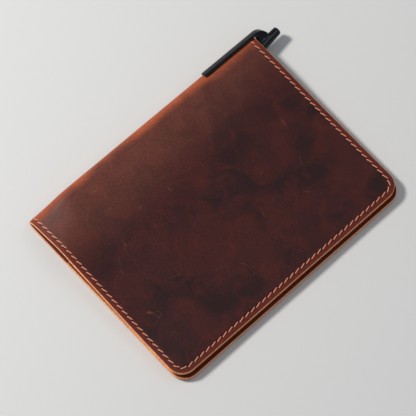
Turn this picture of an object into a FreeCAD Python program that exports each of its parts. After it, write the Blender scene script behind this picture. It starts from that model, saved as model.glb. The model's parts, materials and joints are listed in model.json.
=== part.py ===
import FreeCAD
import Part
import math
import os
import Sketcher

# A folded leather notebook cover with a capped ballpoint pen clipped over its spine.
#
# Frame: origin at the centre of the back cover's resting face, +X from the spine to the fore edge,
# +Y along the spine towards the end where the pen stands out, +Z up through the closed cover.
# Millimetres. Each cover piece is drawn about the fold's centre line and each pen piece from the
# cap's closed end; a piece's Placement puts it into the frame.

DRIVING = {
    # the cover
    "cover_height": 162.0,       # along the spine
    "back_width": 122.0,         # from the spine's outer face to the back cover's fore edge
    "front_width": 119.8,        # the same along the front cover
    "corner_radius": 9.0,        # the four corners at the fore edges
    "outer_thick": 2.0,          # outer leather
    "pocket_thick": 1.2,         # pocket leather
    "fold_radius": 6.2,          # spine's outer face
    "front_tilt": 2.85,          # degrees that the front cover slopes down to its fore edge
    "back_crease": 40.0,         # degrees round the fold, from the back cover to each crease
    "spine_crease": 112.0,
    "front_crease": 170.0,
    "crease_open": 3.0,          # degrees left free at each crease
    # the two pockets
    "pocket_from": 31.0,         # pocket's mouth, from the spine's outer face
    "seam_width": 6.0,           # leather sewn down around a pocket's slot
    "slot_depth": 0.4,           # slot that takes the notebook's own cover
    # the seams
    "stitch_inset": 3.0,         # from the leather's edge to the middle of the stitches
    "thread_width": 0.8,
    "thread_depth": 0.35,
    # the pen, from the cap's closed end
    "pen_end_in": 7.2,           # the end's centre, from the spine's outer face
    "pen_up": 5.95,              # the axis, above the resting face
    "pen_stand_out": 15.0,       # the end, beyond the leather
    "pen_skew": 5.9,             # degrees between the pen and the spine
    "pen_length": 149.0,
    "cap_length": 58.0,
    "cap_taper": 24.0,
    "cap_end_radius": 2.5,
    "cap_edge": 0.9,             # rounding of the closed end
    "cap_radius": 3.6,
    "cap_floor": 5.0,            # solid end
    "cap_bore": 3.0,
    "cap_bore_end": 1.8,
    "clip_from": 6.8,
    "clip_to": 51.7,
    "clip_crotch": 13.5,
    "clip_roll": 50.0,           # degrees that the clip stands above the pen's side
    "clip_clear": 0.3,           # between the clip and the fold's outer face
    "clip_thick": 1.4,
    "clip_wide": 4.0,
    "clip_arch": 6.4,            # outer radius of the arch
    "clip_inner_arch": 1.6,
    "barrel_gap": 0.3,           # between the cap's mouth and the barrel's shoulder
    "barrel_radius": 3.3,
    "barrel_bore": 2.4,
    "barrel_edge": 0.5,
    "neck_radius": 2.95,
    "neck_from": 26.0,
    "holder_from": 14.0,         # where the tip holder's cone ends
    "holder_radius": 2.8,
    "holder_nose_radius": 1.4,
    "holder_stem": 6.0,          # length pressed into the barrel
    "holder_bore": 1.15,
    "press_clear": 0.02,
    "tip_from": 10.0,
    "tip_radius": 1.1,
    "tip_nose_radius": 0.45,
    "tip_shank_radius": 0.95,
    "tip_shank_to": 34.0,
    "ball_radius": 0.35,
    "tube_from": 28.0,
    "tube_to": 128.0,
    "tube_radius": 1.55,
    "tube_bore": 1.0,
    "ink_from": 35.0,
    "ink_to": 112.0,
    "plug_stem": 8.0,
    "plug_flange": 1.2,
    "plug_flange_radius": 3.0,
}

doc = FreeCAD.newDocument("notebook_cover")
sheet = doc.addObject("Spreadsheet::Sheet", "sizes")
for row, (alias, number) in enumerate(DRIVING.items(), start=1):
    sheet.set(f"A{row}", alias)
    sheet.set(f"B{row}", str(number))
    sheet.setAlias(f"B{row}", alias)
doc.recompute()
pieces = []


def value(expression):
    """The number that an expression of the spreadsheet's cells gives."""
    return float(sheet.evalExpression(expression))


def of(*aliases):
    """Aliases as they are written in an expression."""
    return [f"sizes.{alias}" for alias in aliases]


HEIGHT, OUTER, POCKET, FOLD = of("cover_height", "outer_thick", "pocket_thick", "fold_radius")
HALF = f"({HEIGHT} / 2)"
INNER = f"({FOLD} - {OUTER})"
CORNER, INSET = of("corner_radius", "stitch_inset")
TILT, CREASE_OPEN = of("front_tilt", "crease_open")
BACK_CREASE, SPINE_CREASE, FRONT_CREASE = of("back_crease", "spine_crease", "front_crease")
THREAD_WIDE, THREAD_DEEP = of("thread_width", "thread_depth")


# ---- placements ------------------------------------------------------------------------------
def about_fold(turn):
    """A frame on the fold's centre line, turned about it by some degrees."""
    centre = FreeCAD.Vector(value(f"{FOLD} - sizes.back_width / 2"), 0, value(FOLD))
    return FreeCAD.Placement(centre, FreeCAD.Rotation(FreeCAD.Vector(0, 1, 0), turn))


def along_pen():
    """A frame at the cap's closed end, whose -Y runs down the pen."""
    end = FreeCAD.Vector(
        value("sizes.pen_end_in - sizes.back_width / 2"),
        value(f"{HALF} + sizes.pen_stand_out"),
        value("sizes.pen_up"),
    )
    return FreeCAD.Placement(end, FreeCAD.Rotation(FreeCAD.Vector(0, 0, 1), value("sizes.pen_skew")))


# ---- sketches and features -------------------------------------------------------------------
def new_piece(name, placement):
    """An empty body; its label names the piece and the piece's file."""
    body = doc.addObject("PartDesign::Body", name)
    body.Label = name
    body.AllowCompound = True
    body.Placement = placement
    pieces.append(body)
    return body


def new_sketch(body, name, role="XY_Plane", lift=None):
    """A sketch on one of the body's own planes, lifted off it by an expression."""
    sketch = body.newObject("Sketcher::SketchObject", f"{body.Label}_{name}")
    plane = next(feature for feature in body.Origin.OriginFeatures if feature.Role == role)
    sketch.AttachmentSupport = [(plane, "")]
    sketch.MapMode = "FlatFace"
    if lift:
        sketch.setExpression(".AttachmentOffset.Base.z", lift)
    return sketch


def tie(sketch, name, constraint, expression):
    """Adds a named dimension that follows the spreadsheet."""
    index = sketch.addConstraint(constraint)
    sketch.renameConstraint(index, name)
    sketch.setExpression(f".Constraints.{name}", expression)


def draw(sketch, steps):
    """Draws a closed outline and dimensions every point of it from the origin.

    A step is the place where a line ends, as expressions of its x and y. A third expression makes
    it a quarter circle of that radius, which turns left, or right if the radius is negative.
    """
    first_edge = sketch.GeometryCount
    places = [FreeCAD.Vector(value(step[0]), value(step[1]), 0) for step in steps]
    edges = []
    for step, before, place in zip(steps, places[-1:] + places[:-1], places):
        if len(step) == 2:
            edges.append((sketch.addGeometry(Part.LineSegment(before, place)), 1, 2))
            continue
        radius = value(step[2])
        chord = place - before
        bulge = FreeCAD.Vector(chord.y, -chord.x, 0).normalize() * radius * (1 - math.sqrt(0.5))
        arc = Part.Arc(before, before + chord / 2 + bulge, place)
        ends = (1, 2) if radius > 0 else (2, 1)
        edges.append((sketch.addGeometry(arc), *ends))
    for number, (step, previous, edge) in enumerate(zip(steps, edges[-1:] + edges[:-1], edges)):
        tag = first_edge + number
        sketch.addConstraint(Sketcher.Constraint("Coincident", previous[0], previous[2], edge[0], edge[1]))
        end = (edge[0], edge[2])
        place = places[number]
        tie(sketch, f"x{tag}", Sketcher.Constraint("DistanceX", -1, 1, *end, place.x), step[0])
        tie(sketch, f"y{tag}", Sketcher.Constraint("DistanceY", -1, 1, *end, place.y), step[1])
        if len(step) == 3:
            radius = abs(value(step[2]))
            tie(sketch, f"r{tag}", Sketcher.Constraint("Radius", edge[0], radius), f"abs({step[2]})")


def feature_of(body, sketch, kind, name):
    """A PartDesign feature made from a sketch, as the body's new tip."""
    feature = body.newObject(f"PartDesign::{kind}", f"{body.Label}_{name}")
    feature.Profile = sketch
    body.Tip = feature
    return feature


def pad(body, sketch, name, length, reverse=False, both_ways=False):
    feature = feature_of(body, sketch, "Pad", name)
    feature.setExpression("Length", length)
    feature.Reversed = reverse
    feature.Midplane = both_ways
    return feature


def turn(body, sketch, name, axis, angle, reverse=False, both_ways=False):
    feature = feature_of(body, sketch, "Revolution", name)
    feature.ReferenceAxis = (sketch, [axis])
    feature.setExpression("Angle", angle)
    feature.Reversed = reverse
    feature.Midplane = both_ways
    return feature


def cut(body, sketch, kind, name, extent, reverse=False, axis=None, both_ways=False):
    """A Pocket or Groove that is checked to remove material."""
    doc.recompute()
    before = body.Shape.Volume
    feature = feature_of(body, sketch, kind, name)
    if axis:
        feature.ReferenceAxis = (sketch, [axis])
    feature.setExpression("Angle" if axis else "Length", extent)
    feature.Reversed = reverse
    feature.Midplane = both_ways
    doc.recompute()
    if body.Shape.Volume > before - 0.01:
        raise RuntimeError(f"{body.Label}: {name} removes nothing")
    return feature


# ---- outlines --------------------------------------------------------------------------------
def leaf_outline(left, right, inset):
    """A cover's outline, or one inside it by an inset: square at the spine, rounded at the fore edge."""
    far = f"({right} - {inset})"
    tall = f"({HALF} - {inset})"
    start = f"({right} - {CORNER})"
    bend = f"({HALF} - {CORNER})"
    round_off = f"({CORNER} - {inset})"
    return [
        (left, f"-{tall}"),
        (start, f"-{tall}"),
        (far, f"-{bend}", round_off),
        (far, bend),
        (start, tall, round_off),
        (left, tall),
    ]


def seam_outline(left, right):
    """The band that a seam covers on its way round a leaf, open towards the spine."""
    outside = leaf_outline(left, right, f"({INSET} - {THREAD_WIDE} / 2)")
    inside = leaf_outline(left, right, f"({INSET} + {THREAD_WIDE} / 2)")
    bend = f"({HALF} - {CORNER})"
    round_off = f"(-{CORNER} + {INSET} + {THREAD_WIDE} / 2)"
    return outside + [
        inside[5],
        inside[4][:2],
        (inside[3][0], bend, round_off),
        (inside[3][0], f"-{bend}"),
        (*inside[1], round_off),
        inside[0],
    ]


def box_outline(left, right, low, high):
    return [(right, low), (right, high), (left, high), (left, low)]


def fold_seam_outlines(near, far, swap=False):
    """The two ends' seams where they cross the fold, between two distances from its centre."""
    out = f"({HALF} - {INSET} + {THREAD_WIDE} / 2)"
    back = f"({HALF} - {INSET} - {THREAD_WIDE} / 2)"
    bands = [(back, out), (f"-{out}", f"-{back}")]
    if swap:
        return [box_outline(near, far, low, high) for low, high in bands]
    return [box_outline(low, high, near, far) for low, high in bands]


# ---- the cover -------------------------------------------------------------------------------
def make_leaf(side, width, sweep, leather, pocket, threads, place):
    """One cover: leather with its share of the fold, pocket, and the seam's two threads.

    side is 1 where the leather lies above the fold's centre line and -1 where it lies below.
    sweep is how many degrees of the fold belong to it.
    """
    above = side > 0
    sign = "" if above else "-"
    right = f"({width} - {FOLD})"
    mouth = f"(sizes.pocket_from - {FOLD})"
    outer_face = f"{sign}{FOLD}"
    inner_face = f"{sign}{INNER}"
    lining_face = f"{sign}({INNER} - {POCKET})"
    deep_face = f"{sign}({FOLD} - {THREAD_DEEP})"

    body = new_piece(leather, place)
    flat = new_sketch(body, "flat", lift=inner_face)
    draw(flat, leaf_outline("0", right, "0"))
    pad(body, flat, "flat_pad", OUTER, reverse=not above)
    bend = new_sketch(body, "bend", role="YZ_Plane")
    draw(bend, box_outline(f"-{HALF}", HALF, outer_face, inner_face))
    turn(body, bend, "bend_turn", "H_Axis", sweep, reverse=above)
    channel = new_sketch(body, "channel", lift=outer_face)
    draw(channel, seam_outline("0", right))
    cut(body, channel, "Pocket", "channel_cut", THREAD_DEEP, reverse=not above)
    crossing = new_sketch(body, "crossing", role="YZ_Plane")
    for outline in fold_seam_outlines(outer_face, deep_face):
        draw(crossing, outline)
    cut(body, crossing, "Groove", "crossing_cut", sweep, reverse=above, axis="H_Axis")

    body = new_piece(threads[0], place)
    run = new_sketch(body, "run", lift=outer_face)
    draw(run, seam_outline("0", right))
    pad(body, run, "run_pad", THREAD_DEEP, reverse=above)
    crossing = new_sketch(body, "crossing", role="YZ_Plane")
    for outline in fold_seam_outlines(outer_face, deep_face):
        draw(crossing, outline)
    turn(body, crossing, "crossing_turn", "H_Axis", sweep, reverse=above)

    body = new_piece(pocket, place)
    panel = new_sketch(body, "panel", lift=lining_face)
    draw(panel, leaf_outline(mouth, right, "0"))
    pad(body, panel, "panel_pad", POCKET, reverse=not above)
    slot = new_sketch(body, "slot", lift=inner_face)
    edge = f"({HALF} - sizes.seam_width)"
    draw(slot, box_outline(mouth, f"({right} - sizes.seam_width)", f"-{edge}", edge))
    cut(body, slot, "Pocket", "slot_cut", "sizes.slot_depth", reverse=not above)
    channel = new_sketch(body, "channel", lift=lining_face)
    draw(channel, seam_outline(mouth, right))
    cut(body, channel, "Pocket", "channel_cut", THREAD_DEEP, reverse=above)

    body = new_piece(threads[1], place)
    run = new_sketch(body, "run", lift=lining_face)
    draw(run, seam_outline(mouth, right))
    pad(body, run, "run_pad", THREAD_DEEP, reverse=not above)


def make_strip(leather, thread, start, stop):
    """The outer leather between two creases of the fold, and the seam's thread across its ends."""
    sweep = f"{stop} - {start} - {CREASE_OPEN}"
    place = about_fold(value(f"({start} + {stop}) / 2 - 90"))
    body = new_piece(leather, place)
    strip = new_sketch(body, "strip")
    draw(strip, box_outline(f"-{FOLD}", f"-{INNER}", f"-{HALF}", HALF))
    turn(body, strip, "strip_turn", "V_Axis", sweep, both_ways=True)
    crossing = new_sketch(body, "crossing")
    for outline in fold_seam_outlines(f"-{FOLD}", f"(-{FOLD} + {THREAD_DEEP})", swap=True):
        draw(crossing, outline)
    cut(body, crossing, "Groove", "crossing_cut", sweep, axis="V_Axis", both_ways=True)

    body = new_piece(thread, place)
    crossing = new_sketch(body, "crossing")
    for outline in fold_seam_outlines(f"-{FOLD}", f"(-{FOLD} + {THREAD_DEEP})", swap=True):
        draw(crossing, outline)
    turn(body, crossing, "crossing_turn", "V_Axis", sweep, both_ways=True)


# ---- the pen ---------------------------------------------------------------------------------
def turned_piece(name, steps):
    """A piece turned about the pen's axis from its half section."""
    body = new_piece(name, along_pen())
    section = new_sketch(body, "section")
    draw(section, steps)
    turn(body, section, "section_turn", "V_Axis", "360")
    return body


def make_cap():
    """The cap with its clip, which hooks over the leather beside the spine."""
    floor, mouth, taper, bore = of("cap_floor", "cap_length", "cap_taper", "cap_bore")
    end_radius, edge, radius = of("cap_end_radius", "cap_edge", "cap_radius")
    body = turned_piece("pen_cap", [
        (f"({end_radius} - {edge})", "0"),
        (end_radius, f"-{edge}", f"-{edge}"),
        (radius, f"-{taper}"),
        (radius, f"-{mouth}"),
        ("0", f"-{mouth}"),
        ("0", "0"),
    ])

    # The clip lies along the spine, so its plane is turned back from the pen's skew and rolled up.
    start, tip, crotch, thick, roll = of("clip_from", "clip_to", "clip_crotch", "clip_thick", "clip_roll")
    arch, inner_arch = of("clip_arch", "clip_inner_arch")
    beside = f"cos({roll} * 1 deg) * (sizes.pen_end_in - {FOLD})"
    above = f"sin({roll} * 1 deg) * ({FOLD} - sizes.pen_up)"
    inner = f"(-{FOLD} - sizes.clip_clear - {beside} - {above})"
    outer = f"({inner} - {thick})"
    half_thick = f"({thick} / 2)"
    clip = new_sketch(body, "clip")
    unskew = FreeCAD.Rotation(FreeCAD.Vector(0, 0, 1), -value("sizes.pen_skew"))
    roll_up = FreeCAD.Rotation(FreeCAD.Vector(0, 1, 0), value(roll))
    clip.AttachmentOffset = FreeCAD.Placement(FreeCAD.Vector(), unskew * roll_up)
    draw(clip, [
        (f"({outer} + {arch})", f"-{start}"),
        (outer, f"(-{start} - {arch})", arch),
        (outer, f"(-{tip} + {half_thick})"),
        (f"({outer} + {half_thick})", f"-{tip}", half_thick),
        (inner, f"(-{tip} + {half_thick})", half_thick),
        (inner, f"(-{crotch} - {inner_arch})"),
        (f"({inner} + {inner_arch})", f"-{crotch}", f"-{inner_arch}"),
        ("0", f"-{crotch}"),
        ("0", f"-{start}"),
    ])
    pad(body, clip, "clip_pad", "sizes.clip_wide", both_ways=True)

    hollow = new_sketch(body, "hollow")
    draw(hollow, [
        ("sizes.cap_bore_end", f"-{floor}"),
        (bore, f"-{taper}"),
        (bore, f"-{mouth}"),
        ("0", f"-{mouth}"),
        ("0", f"-{floor}"),
    ])
    cut(body, hollow, "Groove", "hollow_cut", "360", axis="V_Axis")


def make_barrel():
    """The barrel with its neck inside the cap, and everything that it carries."""
    shoulder = "(sizes.cap_length + sizes.barrel_gap)"
    end, neck, radius, bore = of("pen_length", "neck_from", "barrel_radius", "barrel_bore")
    neck_radius, edge = of("neck_radius", "barrel_edge")
    turned_piece("pen_barrel", [
        (neck_radius, f"-{neck}"),
        (neck_radius, f"-{shoulder}"),
        (f"({radius} - {edge})", f"-{shoulder}"),
        (radius, f"(-{shoulder} - {edge})", f"-{edge}"),
        (radius, f"(-{end} + {edge})"),
        (f"({radius} - {edge})", f"-{end}", f"-{edge}"),
        (bore, f"-{end}"),
        (bore, f"-{neck}"),
    ])

    flange, flange_radius = of("plug_flange", "plug_flange_radius")
    fitted = f"({bore} - sizes.press_clear)"
    turned_piece("pen_end_plug", [
        (fitted, f"(-{end} + sizes.plug_stem)"),
        (fitted, f"-{end}"),
        (flange_radius, f"-{end}"),
        (flange_radius, f"(-{end} - {flange})"),
        ("0", f"(-{end} - {flange})"),
        ("0", f"(-{end} + sizes.plug_stem)"),
    ])

    tube_radius, tube_bore, tube_from, tube_to = of("tube_radius", "tube_bore", "tube_from", "tube_to")
    socket = f"({tube_radius} + sizes.press_clear)"
    stem_end = f"(-{neck} - sizes.holder_stem)"
    turned_piece("pen_tip_holder", [
        ("sizes.holder_nose_radius", "-sizes.holder_from"),
        ("sizes.holder_radius", f"-{neck}"),
        (fitted, f"-{neck}"),
        (fitted, stem_end),
        (socket, stem_end),
        (socket, f"-{tube_from}"),
        ("sizes.holder_bore", f"-{tube_from}"),
        ("sizes.holder_bore", "-sizes.holder_from"),
    ])

    turned_piece("pen_ink_tube", box_outline(tube_bore, tube_radius, f"-{tube_to}", f"-{tube_from}"))
    turned_piece("pen_ink", box_outline(
        "0", f"({tube_bore} - sizes.press_clear)", "-sizes.ink_to", "-sizes.ink_from"))

    ball = "sizes.ball_radius"
    turned_piece("pen_tip", [
        ("sizes.tip_nose_radius", f"(-sizes.tip_from - {ball})"),
        ("sizes.tip_radius", "-sizes.holder_from"),
        ("sizes.tip_radius", f"-{tube_from}"),
        ("sizes.tip_shank_radius", f"-{tube_from}"),
        ("sizes.tip_shank_radius", "-sizes.tip_shank_to"),
        ("0", "-sizes.tip_shank_to"),
        ("0", f"(-sizes.tip_from - {ball})"),
    ])
    turned_piece("pen_ball", [
        (ball, f"(-sizes.tip_from - {ball})", f"-{ball}"),
        ("0", f"(-sizes.tip_from - {ball})"),
        ("0", "-sizes.tip_from"),
    ])


make_leaf(-1, "sizes.back_width", f"{BACK_CREASE} - {CREASE_OPEN} / 2", "back_leather", "back_pocket",
          ("back_thread_outside", "back_thread_inside"), about_fold(0))
make_leaf(1, "sizes.front_width", f"180 + {TILT} - {FRONT_CREASE} - {CREASE_OPEN} / 2", "front_leather",
          "front_pocket", ("front_thread_outside", "front_thread_inside"), about_fold(value(TILT)))
make_strip("spine_leather", "spine_thread", BACK_CREASE, SPINE_CREASE)
make_strip("shoulder_leather", "shoulder_thread", SPINE_CREASE, FRONT_CREASE)
make_cap()
make_barrel()
doc.recompute()

for item in doc.Objects:
    if {"Invalid", "Error"} & set(item.State):
        raise RuntimeError(f"{item.Label} did not recompute: {item.State}")
for piece in pieces:
    if piece.Shape.isNull() or not piece.Shape.isValid():
        raise RuntimeError(f"{piece.Label} has no valid shape")

os.makedirs("parts", exist_ok=True)
for piece in pieces:
    piece.Shape.exportStep(f"parts/{piece.Label}.step")
    box = piece.Shape.BoundBox
    print(f"{piece.Label:22s} {len(piece.Shape.Solids)} solid(s) {piece.Shape.Volume:9.1f} mm3"
          f"  X {box.XMin:7.2f} {box.XMax:7.2f}  Y {box.YMin:7.2f} {box.YMax:7.2f}"
          f"  Z {box.ZMin:6.2f} {box.ZMax:6.2f}")
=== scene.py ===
"""The looks of a leather notebook cover with a pen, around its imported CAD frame."""
import json
import math

import bmesh
import bpy
import numpy as np
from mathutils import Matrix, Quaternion, Vector


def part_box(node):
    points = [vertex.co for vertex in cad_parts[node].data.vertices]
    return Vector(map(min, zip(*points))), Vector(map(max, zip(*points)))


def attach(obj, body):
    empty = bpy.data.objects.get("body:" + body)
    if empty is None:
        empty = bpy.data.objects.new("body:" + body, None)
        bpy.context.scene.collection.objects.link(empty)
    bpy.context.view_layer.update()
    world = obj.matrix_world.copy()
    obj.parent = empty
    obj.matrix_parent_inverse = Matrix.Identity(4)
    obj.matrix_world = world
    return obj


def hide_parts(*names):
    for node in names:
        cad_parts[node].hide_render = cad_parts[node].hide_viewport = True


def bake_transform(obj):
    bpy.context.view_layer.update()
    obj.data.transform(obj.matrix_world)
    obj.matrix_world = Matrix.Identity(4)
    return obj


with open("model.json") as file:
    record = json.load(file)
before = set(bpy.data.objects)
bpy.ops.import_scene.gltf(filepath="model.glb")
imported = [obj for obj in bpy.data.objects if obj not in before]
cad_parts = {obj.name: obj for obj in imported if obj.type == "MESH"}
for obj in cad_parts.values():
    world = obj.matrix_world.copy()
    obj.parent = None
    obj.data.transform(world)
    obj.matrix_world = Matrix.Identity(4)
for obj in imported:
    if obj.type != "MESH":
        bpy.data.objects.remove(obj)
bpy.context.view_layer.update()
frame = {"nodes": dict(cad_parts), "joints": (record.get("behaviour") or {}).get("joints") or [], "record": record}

MM = 0.001

# ---- the cover's measures, from the frame ------------------------------------------------------
LEATHER = 2.0 * MM
POCKET = 1.2 * MM
INSET = 3.0 * MM                # edge to stitches
CORNER = 9.0 * MM
TILT = math.radians(2.85)
BACK_LOW, BACK_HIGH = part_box("back_leather")
FRONT_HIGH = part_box("front_leather")[1]
HALF = BACK_HIGH.y
SPINE_X = -BACK_HIGH.x
FOLD = (FRONT_HIGH.z - BACK_LOW.z) / 2
FOLD_X = SPINE_X + FOLD
FOLD_Z = FOLD
BACK_REACH = BACK_HIGH.x - FOLD_X
FRONT_REACH = (FRONT_HIGH.x - FOLD_X - FOLD * math.sin(TILT)) / math.cos(TILT)
POCKET_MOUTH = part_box("back_pocket")[0].x - FOLD_X
SWEEP = math.pi + TILT
JOINTS = {joint["name"]: joint for joint in frame["joints"]}
JOINS = [math.radians(76), math.radians(141)]   # round the fold, where the leather's three meshes meet


# ---- the leather's shape -----------------------------------------------------------------------
# A place on the cover is (u, y, depth): u is the way round the outer face, from 0 where the fold
# leaves the back cover, negative over the back cover and positive round the fold and over the front.
FOLD_LENGTH = FOLD * SWEEP
U_FRONT_EDGE = FOLD_LENGTH + FRONT_REACH
U_BACK_EDGE = -BACK_REACH


def smooth(value, low, high):
    """0 below low, 1 above high and an S between them."""
    t = np.clip((value - low) / (high - low), 0, 1)
    return t * t * (3 - 2 * t)


def round_profile(u):
    """The outer face as the CAD has it, with the front cover's slight sag."""
    turn = np.clip(u, 0, FOLD_LENGTH) / FOLD
    x = FOLD_X - FOLD * np.sin(turn)
    z = FOLD_Z - FOLD * np.cos(turn)
    over = np.clip(u - FOLD_LENGTH, 0, None)
    sag = 0.7 * MM * smooth(over, 0.02, 0.055) * (1 - smooth(over, 0.075, FRONT_REACH))
    x = x - np.clip(u, None, 0) + over * math.cos(TILT)
    z = z - over * math.sin(TILT) - sag
    return np.stack([x, z], -1)


# The outer face at the lower end, where nothing fills the fold and it is pinched at the spine:
# (x from the spine's outer face, z), in millimetres.
PINCHED = [
    (40, 0), (24, 0), (12, 0), (6.2, 0), (2.7, 0.6), (0.5, 2.4), (0.3, 4.8), (2.2, 7.3), (6.5, 9.0),
    (12.5, 10.1), (19, 11.3), (25.5, 12.2), (33, 11.8), (46, 10.5), (66, 8.9), (90, 7.4), (119.8, 6.75),
]


def spline(points, count):
    """Evenly spaced points on a smooth curve through the given ones, and the way along to each given one."""
    points = np.array(points, float)
    ends = np.vstack([2 * points[0] - points[1], points, 2 * points[-1] - points[-2]])
    t = np.linspace(0, 1, 60, endpoint=False)[:, None]
    runs = []
    for a, b, c, d in zip(ends, ends[1:], ends[2:], ends[3:]):
        runs.append(0.5 * (2 * b + (c - a) * t + (2 * a - 5 * b + 4 * c - d) * t ** 2
                           + (3 * b - a - 3 * c + d) * t ** 3))
    fine = np.vstack([*runs, points[-1:]])
    way = np.concatenate([[0], np.cumsum(np.linalg.norm(np.diff(fine, axis=0), axis=1))])
    even = np.linspace(0, way[-1], count)
    return np.stack([np.interp(even, way, fine[:, k]) for k in (0, 1)], -1), even


PINCH_CURVE, PINCH_WAY = spline(PINCHED, 1200)
PINCH_START = (PINCHED[0][0] - PINCHED[3][0]) * MM
PINCH_SCALE = (U_FRONT_EDGE + PINCH_START) / (PINCH_WAY[-1] * MM)


def pinched_profile(u):
    """The outer face at the lower end."""
    way = (u + PINCH_START) / PINCH_SCALE / MM
    x = SPINE_X + np.interp(way, PINCH_WAY, PINCH_CURVE[:, 0]) * MM - np.clip(u + PINCH_START, None, 0)
    z = np.interp(way, PINCH_WAY, PINCH_CURVE[:, 1]) * MM
    return np.stack([x, z], -1)


def outer_face(u, y):
    """x and z of the outer face."""
    pinch = (1 - smooth(y, -HALF, -0.054))[..., None]
    face = round_profile(u) * (1 - pinch) + pinched_profile(u) * pinch
    on_front = smooth(u, FOLD_LENGTH, FOLD_LENGTH + 0.02)
    swell = 0.22 * MM * np.sin(u * 71 + y * 38 + 0.6) * np.sin(y * 52 - u * 23 + 1.9)
    face[..., 1] += on_front * swell
    return face


def on_cover(u, y, depth):
    """Points at a depth under the outer face; a negative depth stands out of it."""
    u, y, depth = np.broadcast_arrays(np.asarray(u, float), np.asarray(y, float), np.asarray(depth, float))
    step = 0.25 * MM
    ahead, behind = outer_face(u + step, y), outer_face(u - step, y)
    along = ahead - behind
    along /= np.linalg.norm(along, axis=-1, keepdims=True)
    face = outer_face(u, y)
    # The face runs from the back cover round the spine to the front, so its inner side is on the right.
    x = face[..., 0] + along[..., 1] * depth
    z = face[..., 1] - along[..., 0] * depth
    return np.stack([x, y, z], -1)


# ---- meshes ------------------------------------------------------------------------------------
def add_mesh(name, points, faces, uv=None, values=None):
    """A smooth mesh object whose faces look outwards, with a uv and named values for each point."""
    mesh = bpy.data.meshes.new(name)
    mesh.from_pydata(np.asarray(points).tolist(), [], faces)
    work = bmesh.new()
    work.from_mesh(mesh)
    bmesh.ops.recalc_face_normals(work, faces=work.faces)
    work.to_mesh(mesh)
    work.free()
    mesh.polygons.foreach_set("use_smooth", [True] * len(mesh.polygons))
    if uv is not None:
        layer = mesh.uv_layers.new(name="skin")
        corners = np.zeros(len(mesh.loops), int)
        mesh.loops.foreach_get("vertex_index", corners)
        layer.data.foreach_set("uv", np.asarray(uv)[corners].ravel())
    for key, numbers in (values or {}).items():
        attribute = mesh.attributes.new(key, "FLOAT", "POINT")
        attribute.data.foreach_set("value", np.asarray(numbers, np.float32).ravel())
    obj = bpy.data.objects.new(name, mesh)
    bpy.context.scene.collection.objects.link(obj)
    return obj


UV_PER_METRE = 10
# Distances in from a leather edge at which the mesh has lines: the edge's rounding, then the groove.
EDGE_LINES = MM * np.array([
    0, 0.1, 0.28, 0.55, 0.95, 1.5, 2.1, 2.45, 2.7, 3.0, 3.3, 3.55, 3.9, 4.8, 6.2, 9.0,
])
ACROSS_Y = np.concatenate([
    -HALF + EDGE_LINES[:-1], np.linspace(-HALF + CORNER, HALF - CORNER, 61), HALF - EDGE_LINES[::-1][1:],
])


def edge_drop(inset, deep=1.0):
    """How far a face lies under its flat level near a cut edge, and in the stitched groove."""
    rounding = 0.4 * MM
    near = np.clip(1 - inset / rounding, 0, 1)
    drop = rounding * (1 - np.sqrt(np.clip(1 - near ** 2, 0, 1)))
    pressed = 0.16 * MM * (1 - smooth(inset, 0.5 * MM, 3.6 * MM))
    line = 0.22 * MM * np.exp(-((inset - INSET) / (0.42 * MM)) ** 2)
    return drop + deep * (pressed + line)


def leaf_grid(start, edge, columns):
    """A grid from u = start to a fore edge with rounded corners.

    It gives each point's u, y and inset, which is its distance from the nearest cut edge.
    """
    reach = abs(edge - start)
    across = np.concatenate([columns, reach - EDGE_LINES[::-1]])
    far, high = np.meshgrid(across, ACROSS_Y, indexing="ij")
    # Each corner square turns into a quarter disc, whose lines keep their distance from the edge.
    a = far - (reach - CORNER)
    b = np.abs(high) - (HALF - CORNER)
    corner = (a > 0) & (b > 0)
    size = np.maximum(a, b)
    share = np.where(a >= b, b / np.maximum(a, 1e-12), 2 - a / np.maximum(b, 1e-12))
    angle = share * math.pi / 4
    far = np.where(corner, reach - CORNER + size * np.cos(angle), far)
    high = np.where(corner, np.sign(high) * (HALF - CORNER + size * np.sin(angle)), high)
    inset = np.where(corner, CORNER - size, np.minimum(reach - far, HALF - np.abs(high)))
    return start + math.copysign(1, edge - start) * far, high, inset


def strip_grid(start, stop, steps):
    """A grid across the fold from one seam to another."""
    u, y = np.meshgrid(np.linspace(start, stop, steps), ACROSS_Y, indexing="ij")
    return u, y, HALF - np.abs(y)


def from_fold(u):
    """Millimetres from the middle of the fold, along the face."""
    return np.abs(u - FOLD_LENGTH / 2) / MM


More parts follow.
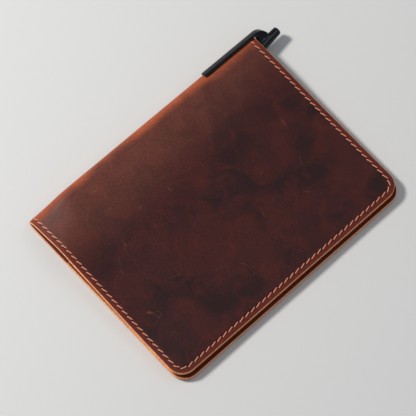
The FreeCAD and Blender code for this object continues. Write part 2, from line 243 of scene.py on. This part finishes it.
def closed_sheet(name, grid, depth, thickness, flat_ends=()):
    """A solid sheet: an outer and an inner face, joined by a wall all the way round.

    A flat end is a row of the grid where the next mesh of the same leather goes on, so its edges
    don't round the shading.
    """
    u, y, inset = grid
    outer = on_cover(u, y, depth + edge_drop(inset)).reshape(-1, 3)
    inner = on_cover(u, y, depth + thickness - edge_drop(inset, 0.55)).reshape(-1, 3)
    count = u.size
    index = np.arange(count).reshape(u.shape)
    quads = np.stack([index[:-1, :-1], index[1:, :-1], index[1:, 1:], index[:-1, 1:]], -1)
    quads = quads.reshape(-1, 4)
    rim = [*index[:-1, 0], *index[-1, :-1], *index[:0:-1, -1], *index[0, :0:-1]]
    rim = [int(k) for k in rim]
    walls = (outer[rim] + inner[rim]) / 2
    faces = [*quads.tolist(), *(quads[:, ::-1] + count).tolist()]
    for k, (a, b) in enumerate(zip(rim, rim[1:] + rim[:1])):
        m, n = 2 * count + k, 2 * count + (k + 1) % len(rim)
        faces += [[a, b, n, m], [m, n, b + count, a + count]]
    flat = np.stack([u, y], -1).reshape(-1, 2)
    raw = (1 - smooth(inset, 0.1 * MM, 0.5 * MM)).ravel()
    far = from_fold(u).ravel()
    values = {
        "raw_edge": np.concatenate([raw, raw, np.ones(len(rim))]),
        "flesh": np.concatenate([np.zeros(count), np.ones(count), np.full(len(rim), 0.5)]),
        "inset": np.concatenate([inset.ravel(), inset.ravel(), np.zeros(len(rim))]) / MM,
        "from_fold": np.concatenate([far, far, far[rim]]),
    }
    points = np.concatenate([outer, inner, walls])
    uv = np.concatenate([flat, flat, flat[rim]]) * UV_PER_METRE
    obj = add_mesh(name, points, faces, uv, values)
    ends = [set(index[row].tolist()) | set((index[row] + count).tolist()) for row in flat_ends]
    sharp = [any(end.issuperset(edge.vertices) for end in ends) for edge in obj.data.edges]
    obj.data.attributes.new("sharp_edge", "BOOLEAN", "EDGE").data.foreach_set("value", sharp)
    return obj


# ---- the leather's fold joints -----------------------------------------------------------------
def bend(piece, joint, before, after):
    """Bakes a piece's transform into its mesh; the joint and the distances before and after its axis are not used.
    """
    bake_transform(piece)


# For the leather's back, spine and front mesh: the joint at its fold, and how far either way of the joint's axis.
BENDS = [
    ("back_fold", 2.6 * MM, 2.4 * MM),
    ("spine_fold", 2.4 * MM, 1.0 * MM),
    ("front_fold", 0.4 * MM, 3.0 * MM),
]
U_JOINS = [FOLD * angle for angle in JOINS]


# ---- outer leather -----------------------------------------------------------------------------
def make_leaf(name, start, edge):
    """The leather from a join in the fold to a cover's fore edge, finely divided where it folds."""
    reach, folded = abs(edge - start), 12 * MM
    fold_lines = np.arange(0, folded, 0.33 * MM)
    flat_lines = np.linspace(folded, reach - CORNER, 44)[:-1]
    grid = leaf_grid(start, edge, np.concatenate([fold_lines, flat_lines]))
    return closed_sheet(name, grid, 0, LEATHER, flat_ends=[0])


leathers = [
    make_leaf("leather_back", U_JOINS[0], U_BACK_EDGE),
    closed_sheet("leather_spine", strip_grid(*U_JOINS, 24), 0, LEATHER, flat_ends=[0, -1]),
    make_leaf("leather_front", U_JOINS[1], U_FRONT_EDGE),
]


# ---- pockets -----------------------------------------------------------------------------------
def make_pocket(name, mouth, edge):
    """A pocket's panel, sewn down on three sides, with its mouth a little open."""
    reach = abs(edge - mouth)
    lines = np.concatenate([EDGE_LINES[:5], np.linspace(1.5 * MM, reach - CORNER, 36)[:-1]])
    u, y, inset = leaf_grid(mouth, edge, lines)
    from_mouth = np.abs(u - mouth)
    middle = 1 - smooth(np.abs(y), 20 * MM, HALF - 5 * MM)
    lift = 0.4 * MM * (1 - smooth(from_mouth, 0, 30 * MM)) * middle
    mouth_inset = np.where(from_mouth < 1.5 * MM, np.minimum(inset, from_mouth), inset)
    return closed_sheet(name, (u, y, mouth_inset), LEATHER + lift, POCKET)


front_mouth = FOLD_LENGTH + POCKET_MOUTH
back_mouth = -POCKET_MOUTH
pockets = [
    make_pocket("pocket_front", front_mouth, U_FRONT_EDGE),
    make_pocket("pocket_back", back_mouth, U_BACK_EDGE),
]
for pocket, body in zip(pockets, ("front_cover", "back_cover")):
    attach(pocket, body)
    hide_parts("front_pocket" if body == "front_cover" else "back_pocket")


# ---- stitches ----------------------------------------------------------------------------------
def seam_path():
    """The seam's closed line round the whole cover: points of u and y, and the way along to each."""
    radius = CORNER - INSET
    low, high = U_BACK_EDGE + INSET, U_FRONT_EDGE - INSET
    side = HALF - INSET
    quarter = np.linspace(0, math.pi / 2, 40)
    corners = [(high, -1, -1), (high, 1, 0), (low, 1, 1), (low, -1, 2)]
    points = []
    for edge, up, turns in corners:
        centre = np.array([edge - math.copysign(radius, edge), up * (side - radius)])
        angle = quarter + turns * math.pi / 2
        points += [centre + radius * np.array([math.cos(t), math.sin(t)]) for t in angle]
    points = np.array(points + points[:1])
    way = np.concatenate([[0], np.cumsum(np.linalg.norm(np.diff(points, axis=0), axis=1))])
    return points, way


SEAM_POINTS, SEAM_WAY = seam_path()
STITCHES = round(SEAM_WAY[-1] / (4.05 * MM))
PITCH = SEAM_WAY[-1] / STITCHES
THREAD_R = 0.36 * MM
THREAD_PLIES = 2


def seam_at(way):
    """Places on the seam, and the directions along it and across it, as u and y."""
    def place(at):
        at = np.mod(at, SEAM_WAY[-1])
        return np.stack([np.interp(at, SEAM_WAY, SEAM_POINTS[:, k]) for k in (0, 1)], -1)

    along = place(way + 0.1 * MM) - place(way - 0.1 * MM)
    along /= np.linalg.norm(along, axis=-1, keepdims=True)
    return place(way), along, np.stack([along[..., 1], -along[..., 0]], -1)


def face_depth(u, inside):
    """The depth of the face that a stitch lies on: the leather's, or inside also the pocket's."""
    if not inside:
        return 0.0
    return LEATHER + POCKET if u > front_mouth or u < back_mouth else LEATHER


def make_stitches(name, chosen, inside):
    """One mesh of many stitches, each a slanted two-ply tube that dives into the leather."""
    sides, steps = 9, 13
    t = np.linspace(0, 1, steps)
    from_middle = np.abs(2 * t - 1)
    dive = from_middle ** 6 * 0.6 * MM
    taper = (1 - 0.35 * from_middle ** 3)[:, None]
    about = np.linspace(0, 2 * math.pi, sides, endpoint=False)
    points, faces, uv = [], [], []
    random = np.random.default_rng(7)
    for order, number in enumerate(chosen):
        wobble = random.normal(0, 0.05, 3)
        centre, _, across = seam_at((number + t) * PITCH)
        slant = (t - 0.5) * (1.05 + wobble[0]) * MM * (1 if inside else -1)
        line = centre + across * slant[:, None]
        # A stitch lies deeper where something rests on it: inside the cover, and under the clip.
        u, y = line[steps // 2]
        pressed = inside or (y > 0 and 0 < u < FOLD_LENGTH)
        depth = (0.2 if pressed else 0.02) * MM + wobble[1] * 0.3 * MM + dive
        twist = 2 * math.pi * 1.4 * t[:, None] + number
        radius = THREAD_R * (1 + 0.16 * np.cos(THREAD_PLIES * (about - twist))) * taper
        at = line[:, None] + across[:, None] * (radius * np.cos(about))[..., None]
        level = depth[:, None] - radius * np.sin(about) * 0.85
        if inside:
            level = face_depth(u, inside) - level
        points.append(on_cover(at[..., 0], at[..., 1], level).reshape(-1, 3))
        twine = np.broadcast_arrays((t[:, None] + number) * 0.04, about / 90)
        uv.append(np.stack(twine, -1).reshape(-1, 2))
        ring = np.arange(sides) + order * sides * steps
        faces += [ring.tolist(), (ring + (steps - 1) * sides).tolist()]
        for step in range(steps - 1):
            near = ring + step * sides
            walls = [near, np.roll(near, -1), np.roll(near, -1) + sides, near + sides]
            faces += np.stack(walls, -1).tolist()
    return add_mesh(name, np.concatenate(points), faces, np.concatenate(uv))


def make_holes(name, chosen, inside):
    """Painted shade of the awl holes between stitches: shallow slanted dark lentils set into the groove."""
    sides = 8
    about = np.linspace(0, 2 * math.pi, sides, endpoint=False)[:, None]
    rise = np.array([0.3] * sides + [0.14, 0.7]) * MM
    points, faces = [], []
    for order, number in enumerate(chosen):
        centre, along, across = seam_at(number * PITCH)
        rim = centre + along * 0.5 * MM * np.cos(about) + across * 1.05 * MM * np.sin(about)
        at = np.vstack([rim, centre, centre])
        level = face_depth(centre[0], inside) + rise * (-1 if inside else 1)
        points.append(on_cover(at[:, 0], at[:, 1], level))
        base = order * (sides + 2)
        for k in range(sides):
            here, ahead = base + k, base + (k + 1) % sides
            faces += [[here, ahead, base + sides], [ahead, here, base + sides + 1]]
    return add_mesh(name, np.concatenate(points), faces)


def part_of(number):
    """Which mesh of the leather a stitch is on: 0 for the back, 1 for the spine, 2 for the front."""
    u = seam_at((number + 0.5) * PITCH)[0][0]
    return int(u > U_JOINS[0]) + int(u > U_JOINS[1])


stitches, holes = [], []
for part, part_name in enumerate(("back", "spine", "front")):
    chosen = [number for number in range(STITCHES) if part_of(number) == part]
    for side in ("outside", "inside"):
        stitches.append(make_stitches(f"stitches_{part_name}_{side}", chosen, side == "inside"))
        holes.append(make_holes(f"holes_{part_name}_{side}", chosen, side == "inside"))
    for piece in (*stitches[-2:], *holes[-2:], leathers[part]):
        bend(piece, *BENDS[part])
for piece, nodes in {
    "leather_back": ["back_leather"],
    "leather_spine": ["spine_leather", "shoulder_leather"],
    "leather_front": ["front_leather"],
    "stitches_back_outside": ["back_thread_outside"],
    "stitches_back_inside": ["back_thread_inside"],
    "stitches_spine_outside": ["spine_thread", "shoulder_thread"],
    "stitches_front_outside": ["front_thread_outside"],
    "stitches_front_inside": ["front_thread_inside"],
}.items():
    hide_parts(*nodes)


# ---- pen cap -----------------------------------------------------------------------------------
CAP_REACH = 3.9 * MM            # from the pen's axis; only the clip lies beyond it


def round_clip():
    """The pen cap's CAD shape with the clip's edges rounded."""
    source = frame["nodes"]["pen_cap"]
    ball_low, ball_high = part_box("pen_ball")
    origin = (Vector(ball_low) + Vector(ball_high)) / 2
    axis = Vector(JOINTS["pen_slide"]["axis"]).normalized()

    def off_axis(vert):
        return (vert.co - origin).cross(axis).length

    work = bmesh.new()
    work.from_mesh(source.data)
    work.transform(source.matrix_world)
    bmesh.ops.remove_doubles(work, verts=work.verts, dist=1e-6)
    bmesh.ops.dissolve_limit(work, angle_limit=0.01, verts=work.verts, edges=work.edges)
    sharp = [
        edge for edge in work.edges
        if len(edge.link_faces) == 2 and edge.calc_face_angle() > math.radians(40)
        and max(off_axis(vert) for vert in edge.verts) > CAP_REACH
    ]
    bmesh.ops.bevel(work, geom=sharp, offset=0.5 * MM, segments=4, profile=0.5, affect="EDGES",
                    clamp_overlap=True)
    bmesh.ops.triangulate(work, faces=work.faces)
    mesh = bpy.data.meshes.new("cap_with_clip")
    work.to_mesh(mesh)
    work.free()
    mesh.polygons.foreach_set("use_smooth", [True] * len(mesh.polygons))
    mesh.set_sharp_from_angle(angle=math.radians(32))
    cap = bpy.data.objects.new("cap_with_clip", mesh)
    bpy.context.scene.collection.objects.link(cap)
    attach(cap, "pen_cap")
    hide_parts("pen_cap")
    return cap


cap = round_clip()


# ---- materials ---------------------------------------------------------------------------------
def srgb(red, green, blue):
    """A colour given as it looks on a screen."""
    linear = [c / 12.92 if c <= 0.04045 else ((c + 0.055) / 1.055) ** 2.4 for c in (red, green, blue)]
    return (*linear, 1.0)


class Nodes:
    """Short calls for building a material's nodes."""

    def __init__(self, name):
        self.material = bpy.data.materials.new(name)
        self.material.use_nodes = True
        self.tree = self.material.node_tree
        self.shader = self.tree.nodes["Principled BSDF"]

    def add(self, kind, inputs=None, **settings):
        node = self.tree.nodes.new(kind)
        for key, setting in settings.items():
            setattr(node, key, setting)
        for key, entry in (inputs or {}).items():
            self.feed(node.inputs[key], entry)
        return node

    def feed(self, socket, entry):
        """Links a node's output to a socket, or sets the socket to a value."""
        if isinstance(entry, bpy.types.NodeSocket):
            self.tree.links.new(entry, socket)
        else:
            socket.default_value = entry

    def value(self, name):
        return self.add("ShaderNodeAttribute", attribute_name=name).outputs["Fac"]

    def shade(self, **sockets):
        """Feeds the shader's sockets, named with underscores for spaces."""
        for name, entry in sockets.items():
            self.feed(self.shader.inputs[name.replace("_", " ")], entry)

    def math(self, operation, *entries):
        node = self.add("ShaderNodeMath", operation=operation)
        for socket, entry in zip(node.inputs, entries):
            self.feed(socket, entry)
        return node.outputs[0]

    def ramp(self, entry, low, high, to_low=0.0, to_high=1.0):
        """An S from to_low where the entry is at low, to to_high where it is at high."""
        ends = {"From Min": low, "From Max": high, "To Min": to_low, "To Max": to_high}
        node = self.add("ShaderNodeMapRange", {"Value": entry, **ends}, interpolation_type="SMOOTHSTEP")
        return node.outputs[0]

    def noise(self, vector, scale, detail=4.0, rough=0.55, warp=0.0):
        node = self.add("ShaderNodeTexNoise", {"Vector": vector, "Scale": scale, "Detail": detail,
                                               "Roughness": rough, "Distortion": warp})
        return node.outputs["Fac"]

    def mix(self, share, first, second, blend="MIX"):
        node = self.add("ShaderNodeMix", data_type="RGBA", blend_type=blend)
        for key, entry in ((0, share), (6, first), (7, second)):
            self.feed(node.inputs[key], entry)
        return node.outputs[2]

    def cells(self, vector, scale):
        """The distance to the edge of the nearest of many uneven cells."""
        node = self.add("ShaderNodeTexVoronoi", {"Vector": vector, "Scale": scale},
                        feature="DISTANCE_TO_EDGE")
        return node.outputs["Distance"]

    def bump(self, height, distance, strength, under=None):
        node = self.add("ShaderNodeBump", {"Height": height, "Distance": distance, "Strength": strength})
        if under:
            self.feed(node.inputs["Normal"], under)
        return node.outputs["Normal"]


def leather_material(name, flesh_only=False):
    """Waxed pull-up leather: mottled, lighter where it bends and wears, with a painted sheen beside the fold, raw
    at its cut edges.
    """
    n = Nodes(name)
    skin = n.add("ShaderNodeUVMap", uv_map="skin").outputs[0]
    cloud = n.noise(skin, 3.2, 3.0, 0.5, 0.6)
    patch = n.noise(skin, 9.0, 4.0, 0.6, 0.8)
    fine = n.noise(skin, 90.0, 5.0, 0.65)
    dark, plum = srgb(0.145, 0.045, 0.045), srgb(0.225, 0.075, 0.062)
    face = n.mix(n.ramp(cloud, 0.36, 0.64), dark, plum)
    face = n.mix(n.ramp(patch, 0.42, 0.78, 0, 0.45), face, srgb(0.32, 0.110, 0.062))

    # The faces beside the fold are lighter where the leather is bent and also carry a painted sheen, less so
    # towards the upper end.
    upper = n.ramp(n.add("ShaderNodeSeparateXYZ", {0: skin}).outputs["Y"], -0.2, 0.8)
    far = n.math("ADD", n.value("from_fold"), n.ramp(cloud, 0.3, 0.7, -2.0, 2.0))
    pale_fold_and_sheen = n.ramp(n.math("ADD", far, n.math("MULTIPLY", upper, 9.0)), 52.0, 6.0)
    pale_fold_and_sheen = n.math("MULTIPLY", pale_fold_and_sheen, n.ramp(patch, 0.25, 0.7, 0.65, 1.0))
    face = n.mix(n.math("MULTIPLY", pale_fold_and_sheen, 0.9), face, srgb(0.40, 0.205, 0.155))

    # The fold is pulled pale, wider but more faintly towards the upper end.
    worn = n.ramp(n.math("SUBTRACT", far, n.math("MULTIPLY", upper, 3.5)), 9.5, 2.6)
    worn = n.math("MULTIPLY", worn, n.ramp(patch, 0.2, 0.7, 0.7, 1.0))
    worn = n.math("MULTIPLY", worn, n.ramp(upper, 0.0, 1.0, 0.95, 0.7))
    face = n.mix(worn, face, srgb(0.66, 0.31, 0.165))

    # The border outside the stitches is redder, and the groove under them is darkened with painted shade.
    inset = n.value("inset")
    border = n.math("MULTIPLY", n.ramp(inset, 3.7, 1.6), n.ramp(fine, 0.3, 0.7, 0.45, 0.85))
    face = n.mix(border, face, srgb(0.40, 0.13, 0.068))
    off_seam = n.math("ABSOLUTE", n.math("SUBTRACT", inset, INSET / MM))
    groove = n.math("MULTIPLY", n.ramp(off_seam, 0.9, 0.2), 0.45)
    face = n.mix(1.0, face, n.math("SUBTRACT", 1.0, groove), "MULTIPLY")
    face = n.mix(1.0, face, n.ramp(fine, 0.35, 0.7, 0.84, 1.14), "MULTIPLY")

    # A few light scuffs show where the wax is broken.
    shift = {0: skin, 1: n.noise(skin, 2.4, 2.0)}
    bent = n.add("ShaderNodeVectorMath", shift, operation="ADD").outputs[0]
    scuff = n.math("MULTIPLY", n.ramp(n.cells(bent, 4.2), 0.010, 0.0),
                   n.ramp(n.noise(skin, 5.5, 2.0), 0.58, 0.68))
    scuff = n.math("MULTIPLY", scuff, n.ramp(n.noise(skin, 60.0, 3.0), 0.4, 0.6, 0.1, 0.5))
    face = n.mix(scuff, face, srgb(0.58, 0.38, 0.31))

    nap = n.ramp(n.noise(skin, 75.0, 5.0, 0.7), 0.15, 0.85)
    back = n.mix(nap, srgb(0.29, 0.095, 0.045), srgb(0.39, 0.15, 0.075))
    flesh = n.ramp(n.value("flesh"), 0.55, 0.75)
    colour = back if flesh_only else n.mix(flesh, face, back)
    fibre = n.noise(skin, 160.0, 5.0, 0.7)
    cut = n.mix(n.ramp(fibre, 0.3, 0.7), srgb(0.80, 0.46, 0.28), srgb(1.0, 0.72, 0.50))
    colour = n.mix(n.ramp(n.value("raw_edge"), 0.35, 0.95), colour, cut)
    dullness = n.math("MULTIPLY", 1.0 if flesh_only else flesh, 0.3)
    rough = n.math("ADD", n.ramp(fine, 0.3, 0.7, 0.40, 0.56), dullness)
    low = n.bump(n.noise(skin, 22.0, 4.0, 0.6), 0.00012, 0.6)
    grain = n.bump(n.ramp(n.cells(skin, 130.0), 0.0, 0.18), 0.00005, 0.45, low)
    n.shade(Base_Color=colour, Roughness=rough, Specular_IOR_Level=0.2,
            Normal=n.bump(fine, 0.00006, 0.6, grain))
    return n.material


def thread_material():
    """Waxed thread in the leather's tan, with a painted highlight along its fibres."""
    n = Nodes("waxed_thread")
    skin = n.add("ShaderNodeUVMap", uv_map="skin").outputs[0]
    stretched = n.add("ShaderNodeMapping", {"Vector": skin, "Scale": (40.0, 400.0, 1.0)}).outputs[0]
    fibre = n.noise(stretched, 2.0, 4.0)
    # The fibre streaks are partly the thread's own tone and partly a painted highlight colour.
    colour = n.mix(n.ramp(fibre, 0.3, 0.7), srgb(0.62, 0.30, 0.19), srgb(0.94, 0.60, 0.44))
    n.shade(Base_Color=colour, Roughness=n.ramp(fibre, 0.3, 0.7, 0.42, 0.6), Sheen_Weight=0.2,
            Normal=n.bump(fibre, 0.00005, 0.7))
    return n.material


def hard_material(name, colour, roughness, metallic=0.0):
    """Moulded plastic or turned metal, with faint wear in its gloss."""
    n = Nodes(name)
    wear = n.noise(n.add("ShaderNodeTexCoord").outputs["Object"], 420.0, 4.0, 0.6)
    rubbed = tuple(min(1, c * 1.6 + 0.004) for c in colour)
    n.shade(Base_Color=n.mix(n.ramp(wear, 0.3, 0.7, 0, 0.25), colour, rubbed),
            Roughness=n.ramp(wear, 0.3, 0.75, roughness, roughness + 0.12),
            Metallic=metallic, Specular_IOR_Level=0.5 if metallic else 0.32,
            Normal=n.bump(wear, 0.00001, 0.5))
    return n.material


outer_leather = leather_material("pull_up_leather")
pocket_leather = leather_material("pocket_leather", flesh_only=True)
thread = thread_material()
hole_dark = hard_material("hole_shadow", srgb(0.07, 0.03, 0.025), 0.9)
MATERIALS = {
    "black_gloss": hard_material("black_plastic", srgb(0.016, 0.016, 0.022), 0.12),
    "clear_tube": hard_material("clear_tube", srgb(0.80, 0.80, 0.78), 0.3),
    "ink": hard_material("ink", srgb(0.02, 0.02, 0.07), 0.15),
    "brass": hard_material("brass", srgb(0.80, 0.62, 0.33), 0.22, metallic=1.0),
    "steel": hard_material("steel", srgb(0.72, 0.72, 0.74), 0.12, metallic=1.0),
}
for pieces, material in (
    (leathers, outer_leather), (pockets, pocket_leather), (stitches, thread), (holes, hole_dark),
    ([cap], MATERIALS["black_gloss"]),
):
    for piece in pieces:
        piece.data.materials.clear()
        piece.data.materials.append(material)
for entry in frame["record"]["subparts"]:
    node = frame["nodes"][entry["node"]]
    if entry["material_slot"] in MATERIALS:
        node.data.materials.clear()
        node.data.materials.append(MATERIALS[entry["material_slot"]])


# ---- floor, light and camera -------------------------------------------------------------------
def make_stage():
    """A plain pale floor under soft studio light from the spine's side."""
    bpy.ops.mesh.primitive_plane_add(size=6, location=(0, 0, -0.0004))
    floor = bpy.context.object
    floor.name = "floor"
    n = Nodes("floor")
    n.shade(Base_Color=srgb(0.80, 0.79, 0.77), Roughness=0.8)
    floor.data.materials.append(n.material)
    world = bpy.data.worlds.new("studio")
    world.use_nodes = True
    background = world.node_tree.nodes["Background"]
    background.inputs["Color"].default_value = srgb(0.86, 0.90, 0.96)
    background.inputs["Strength"].default_value = 0.40
    bpy.context.scene.world = world
    for name, place, size, power in (
        ("key", (-0.80, -0.50, 1.0), 0.26, 19.0),
        ("fill", (0.2, 0.9, 1.3), 1.0, 2.5),
    ):
        light = bpy.data.objects.new(name, bpy.data.lights.new(name, "AREA"))
        light.data.shape = "DISK"
        light.data.size = size
        light.data.energy = power
        light.location = place
        light.rotation_mode = "QUATERNION"
        light.rotation_quaternion = (-Vector(place)).to_track_quat("-Z", "Y")
        bpy.context.scene.collection.objects.link(light)


def make_camera():
    """The camera over the lower fore corner, turned so that the spine runs up to the right."""
    azimuth, elevation, roll = (math.radians(a) for a in (42.02, 68.47, -5.4))
    level = math.cos(elevation)
    back = Vector((math.sin(azimuth) * level, -math.cos(azimuth) * level, math.sin(elevation)))
    camera = bpy.data.objects.new("camera", bpy.data.cameras.new("camera"))
    camera.data.sensor_width = 36.0
    camera.data.lens = 173.08
    camera.data.clip_start = 0.05
    camera.location = Vector((261.07, -297.10, 1002.39)) * MM
    camera.rotation_mode = "QUATERNION"
    camera.rotation_quaternion = (-back).to_track_quat("-Z", "Y") @ Quaternion((0, 0, 1), -roll)
    bpy.context.scene.collection.objects.link(camera)
    bpy.context.scene.camera = camera
    bpy.context.scene.view_settings.view_transform = "Standard"


make_stage()
make_camera()
